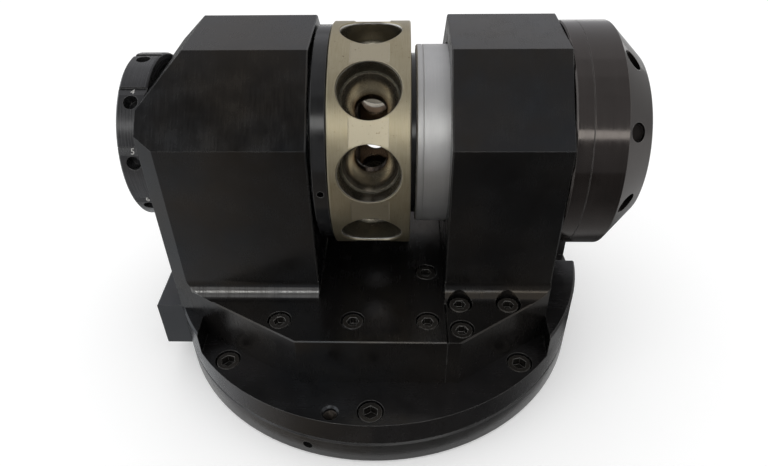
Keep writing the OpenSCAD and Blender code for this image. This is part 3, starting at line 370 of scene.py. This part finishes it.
def numberPaint():
    s = Surface("number paint")
    n = s.noise(900, 3, 0.6)
    s.set(colour=s.blendColour(s.spread(n, 0, 1, 0.3, 0.7), (0.34, 0.335, 0.32), (0.62, 0.61, 0.58)), spec=0.4)
    s.set(rough=s.spread(n, 0.4, 0.6))
    return s.mat


def makeDialNumbers(d):
    paint = numberPaint()
    made = []
    for k in range(9):
        number = (k + d["first"]) % 9 + 1       # the step before each station carries its number
        curve = bpy.data.curves.new("dialNumber%d" % number, "FONT")
        curve.body = str(number)
        curve.size = d["height"] * 1.38
        curve.align_x, curve.align_y = "CENTER", "CENTER"
        curve.extrude = d["raise"]
        curve.resolution_u = 3
        obj = bpy.data.objects.new("dialNumber%d" % number, curve)
        bpy.context.scene.collection.objects.link(obj)
        turn = math.radians(d["firstStep"] + 40 * k)
        tilt = math.radians(-d["floorAngle"])
        # local frame of a step: out along the radius, down the rim towards the next station
        out = Vector((0, -math.sin(turn), math.cos(turn)))
        down = Vector((0, -math.cos(turn), -math.sin(turn)))
        normal = (out * math.cos(tilt) + down * math.sin(tilt)).normalized()
        top = Vector((1, 0, 0)).cross(normal) * -1
        if top.dot(down) > 0:
            top = -top
        centre = Vector((d["x"], 0, axisZ)) + out * (d["radius"] - d["step"] + d["run"] * math.tan(math.radians(d["floorAngle"]))) + down * d["run"]
        side = top.cross(normal)
        obj.matrix_world = Matrix.Translation(centre) @ Matrix((side, top, normal)).transposed().to_4x4()
        curve.materials.append(paint)
        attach(obj, "spindle")
        made.append(obj)
    return made


makeDialNumbers(dialNumbers)
print("dial numbers placed")


# ---- threads in the two jack holes of the base flange
jackThread = {"radius": 5 * mm, "depth": 0.55 * mm, "pitch": 1.5 * mm, "bottom": 23.5 * mm, "turns": 12,
              "reach": 166.6 * mm, "angle": -100.2, "steps": 40}


def makeJackThreads(d):
    bm = bmesh.new()
    for half in (0, 180):
        turn = math.radians(d["angle"] + half)
        centre = Vector((d["reach"] * math.cos(turn), d["reach"] * math.sin(turn), d["bottom"]))
        rows = []
        for i in range(d["turns"] * d["steps"] + 1):
            a = 2 * math.pi * i / d["steps"]
            z = d["pitch"] * i / d["steps"]
            out = Vector((math.cos(a), math.sin(a), 0))
            ridge = [(d["radius"] + 0.02 * mm, -0.42), (d["radius"] - d["depth"], 0.0), (d["radius"] + 0.02 * mm, 0.42)]
            rows.append([bm.verts.new(centre + out * r + up * (z + s * d["pitch"])) for r, s in ridge])
        for a, b in zip(rows, rows[1:]):
            for j in range(3):
                bm.faces.new((a[j], b[j], b[(j + 1) % 3], a[(j + 1) % 3]))
        for end in (rows[0], rows[-1]):
            bm.faces.new(end)
    bmesh.ops.recalc_face_normals(bm, faces=bm.faces)
    mesh = bpy.data.meshes.new("jackThreads")
    bm.to_mesh(mesh)
    bm.free()
    mesh.materials.append(turnedSteel("worn thread", (0.05, 0.042, 0.034), (0.12, 0.10, 0.085), rough=(0.3, 0.4), axis="Z"))
    obj = bpy.data.objects.new("jackThreads", mesh)
    bpy.context.scene.collection.objects.link(obj)
    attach(obj, "chuck_body")
    return obj


makeJackThreads(jackThread)
print("jack threads cut")


def makeLockSpring():
    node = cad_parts["plunger_spring"]
    obj = bpy.data.objects.new("lockSpring", node.data.copy())
    bpy.context.scene.collection.objects.link(obj)
    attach(obj, "chuck_body")
    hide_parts("plunger_spring")
    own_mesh(obj)
    return obj


makeLockSpring()
print("lock spring made")


# ---- floor, light and camera
studio = {"floorTone": (0.92, 0.92, 0.92), "floorGlow": 0.16, "floorSize": 8.0, "world": 1.0,
          # cards in an arc over the chuck: elevations in degrees from the front, and how bright
          # the left and the right half of each is in reflections
          "arcCards": [(-13, 22, 0.28, 0.17), (22, 66, 0.11, 0.40), (66, 84, 0.38, 0.42), (84, 104, 0.50, 0.50),
                       (104, 132, 0.64, 0.60), (132, 150, 0.74, 0.60), (150, 178, 0.44, 0.60)],
          # window strip: azimuth, lower and upper elevation in degrees
          "strip": [(-38, 34, 46), (-8, 34, 46), (3, 26, 40), (12, 25, 35), (19, 24.5, 33.5), (38, 24.5, 29.5)],
          "stripBright": 3.2, "cardDistance": 1.3, "cardHalf": 1.28,
          # what the floor shows in reflections: angles from the front towards +X, and the tone close
          # to the base and far from it
          "floorCard": [(-180, (0.12, 0.12, 0.12), (0.12, 0.12, 0.12)), (-118, (0.12, 0.12, 0.12), (0.12, 0.12, 0.12)),
                        (-104, (0.52, 0.53, 0.54), (0.52, 0.53, 0.54)), (-56, (0.52, 0.53, 0.54), (0.52, 0.53, 0.54)),
                        (-44, (0.45, 0.45, 0.46), (0.45, 0.45, 0.46)), (-32, (0.32, 0.30, 0.28), (0.32, 0.30, 0.28)),
                        (-20, (0.20, 0.17, 0.14), (0.20, 0.17, 0.14)), (-8, (0.115, 0.097, 0.079), (0.115, 0.097, 0.079)),
                        (6, (0.050, 0.045, 0.040), (0.050, 0.045, 0.040)), (36, (0.05, 0.05, 0.05), (0.035, 0.035, 0.035)),
                        (72, (0.31, 0.31, 0.31), (0.04, 0.04, 0.04)), (80, (0.05, 0.05, 0.05), (0.50, 0.50, 0.50)),
                        (180, (0.05, 0.05, 0.05), (0.55, 0.55, 0.55))],
          "floorRadii": (0.180, 2.4), "floorBlend": (0.27, 0.40),
          # upright cards at both sides: place, lower and upper edge, how bright, tone
          "sideCards": [(-1.3, 0.002, 1.4, 1.15, (0.93, 0.96, 1.0)), (1.3, 0.002, 0.38, 0.36, (1, 1, 1)),
                        (1.3, 0.38, 1.4, 0.72, (1, 1, 1))]}


def stageMaterial(name, tone, emit):
    m = bpy.data.materials.new(name)
    m.use_nodes = True
    p = m.node_tree.nodes["Principled BSDF"]
    if emit:
        p.inputs["Base Color"].default_value = (0, 0, 0, 1)
        p.inputs["Specular IOR Level"].default_value = 0
        p.inputs["Emission Color"].default_value = (*tone, 1)
        p.inputs["Emission Strength"].default_value = emit
    else:
        p.inputs["Base Color"].default_value = (*tone, 1)
        p.inputs["Roughness"].default_value = 0.9
    return m


def sheetMesh(name, points, across, material):
    mesh = bpy.data.meshes.new(name)
    verts, faces = [], []
    for i, (y, z) in enumerate(points):
        verts += [(across[0], y, z), (across[1], y, z)]
        if i:
            a = 2 * (i - 1)
            faces.append((a, a + 1, a + 3, a + 2))
    mesh.from_pydata(verts, [], faces)
    mesh.materials.append(material)
    obj = bpy.data.objects.new(name, mesh)
    bpy.context.scene.collection.objects.link(obj)
    return obj


def makeStudio(d):
    half = d["floorSize"] / 2
    paper = stageMaterial("floor", d["floorTone"], 0)
    paper.node_tree.nodes["Principled BSDF"].inputs["Emission Color"].default_value = (1, 1, 1, 1)
    paper.node_tree.nodes["Principled BSDF"].inputs["Emission Strength"].default_value = d["floorGlow"]
    floor = sheetMesh("floor", [(-half, -0.0005), (half, -0.0005)], (-half, half), paper)
    # dark cards keep the black faces black, as a photographer's flags do
    cards = []
    s = Surface("floor card")
    radius, along, angle = s.roundAxis("Z")
    turn = s.spread(angle, 0, 1, -math.pi, math.pi)
    close, far = ([(-a / 360 if a < 0 else 1 - a / 360, tones[i]) for a, *tones in d["floorCard"]] for i in (0, 1))
    tone = s.blendColour(s.spread(radius, 0, 1, *d["floorBlend"]), *(s.ramp(turn, sorted(stops)) for stops in (close, far)))
    s.set(colour=(0, 0, 0), spec=0.0)
    s.join(tone, s.shader.inputs["Emission Color"])
    s.shader.inputs["Emission Strength"].default_value = 1
    mesh = bpy.data.meshes.new("floorCard")
    angles = [math.pi * i / 48 for i in range(96)]
    mesh.from_pydata([(r * math.sin(a), -r * math.cos(a), 0.0012) for a in angles for r in d["floorRadii"]], [],
                     [tuple(k % 192 for k in (2 * i, 2 * i + 1, 2 * i + 3, 2 * i + 2)) for i in range(96)])
    mesh.materials.append(s.mat)
    cards.append(bpy.data.objects.new("floorCard", mesh))
    bpy.context.scene.collection.objects.link(cards[-1])
    for k, (start, end, *brights) in enumerate(d["arcCards"]):
        angles = [math.radians(start + (end - start) * i / 6) for i in range(7)]
        arc = [(-d["cardDistance"] * math.cos(a), axisZ + d["cardDistance"] * math.sin(a)) for a in angles]
        for side, bright, across in zip(("Left", "Right"), brights, ((-d["cardHalf"], 0.03), (0.03, d["cardHalf"]))):
            cards.append(sheetMesh("arcCard%s%d" % (side, k), arc, across, stageMaterial("arc card %s %d" % (side, k), (1, 1, 1.04), bright)))
    for k, (place, low, high, bright, tone) in enumerate(d["sideCards"]):
        mesh = bpy.data.meshes.new("sideCard%d" % k)
        mesh.from_pydata([(place, y, z) for z in (low, high) for y in (-1.3, 1.3)], [], [(0, 1, 3, 2)])
        mesh.materials.append(stageMaterial("side card %d" % k, tone, bright))
        cards.append(bpy.data.objects.new("sideCard%d" % k, mesh))
        bpy.context.scene.collection.objects.link(cards[-1])
    mesh = bpy.data.meshes.new("stripCard")
    verts, near = [], d["cardDistance"] - 0.06
    for azimuth, *ends in d["strip"]:
        for e in map(math.radians, ends):
            y = near * math.cos(e)
            verts.append((y * math.tan(math.radians(azimuth)), -y, axisZ + near * math.sin(e)))
    mesh.from_pydata(verts, [], [(2 * i, 2 * i + 2, 2 * i + 3, 2 * i + 1) for i in range(len(d["strip"]) - 1)])
    mesh.materials.append(stageMaterial("strip card", (1, 1, 0.98), d["stripBright"]))
    strip = bpy.data.objects.new("stripCard", mesh)
    bpy.context.scene.collection.objects.link(strip)
    cards.append(strip)
    for card in cards:
        card.visible_camera = card.visible_diffuse = card.visible_shadow = card.visible_transmission = False


def lamp(name, place, target, size, power, tone=(1, 1, 1)):
    data = bpy.data.lights.new(name, "AREA")
    data.shape = "RECTANGLE"
    data.size, data.size_y = size
    data.energy = power
    data.color = tone
    obj = bpy.data.objects.new(name, data)
    bpy.context.scene.collection.objects.link(obj)
    obj.location = place
    obj.rotation_euler = (Vector(target) - Vector(place)).to_track_quat("-Z", "Y").to_euler()
    return obj


makeStudio(studio)
world = bpy.data.worlds.new("studio")
bpy.context.scene.world = world
world.use_nodes = True
world.node_tree.nodes["Background"].inputs["Color"].default_value = (1, 1, 1, 1)
world.node_tree.nodes["Background"].inputs["Strength"].default_value = studio["world"]
lamp("leftSoftbox", (-1.1, -0.7, 0.9), (0, 0, 0.15), (0.7, 0.9), 1.5)

cameraFit = {"place": (0.0224, -0.4526, 0.4392), "pitch": 38.18, "yaw": -1.989, "roll": 1.023, "lens": 30.305}


def makeCamera(d):
    pitch, yaw, roll = (math.radians(d[k]) for k in ("pitch", "yaw", "roll"))
    ahead = Vector((math.sin(yaw) * math.cos(pitch), math.cos(yaw) * math.cos(pitch), -math.sin(pitch)))
    right = Vector((math.cos(yaw), -math.sin(yaw), 0))
    down = ahead.cross(right)
    right, down = right * math.cos(roll) + down * math.sin(roll), down * math.cos(roll) - right * math.sin(roll)
    data = bpy.data.cameras.new("photoCamera")
    data.lens, data.sensor_width, data.sensor_fit = d["lens"], 36, "HORIZONTAL"
    data.clip_start = 0.01
    obj = bpy.data.objects.new("photoCamera", data)
    bpy.context.scene.collection.objects.link(obj)
    obj.matrix_world = Matrix.Translation(d["place"]) @ Matrix((right, -down, -ahead)).transposed().to_4x4()
    bpy.context.scene.camera = obj


makeCamera(cameraFit)
bpy.context.scene.view_settings.view_transform = "Standard"
print("studio and camera set")
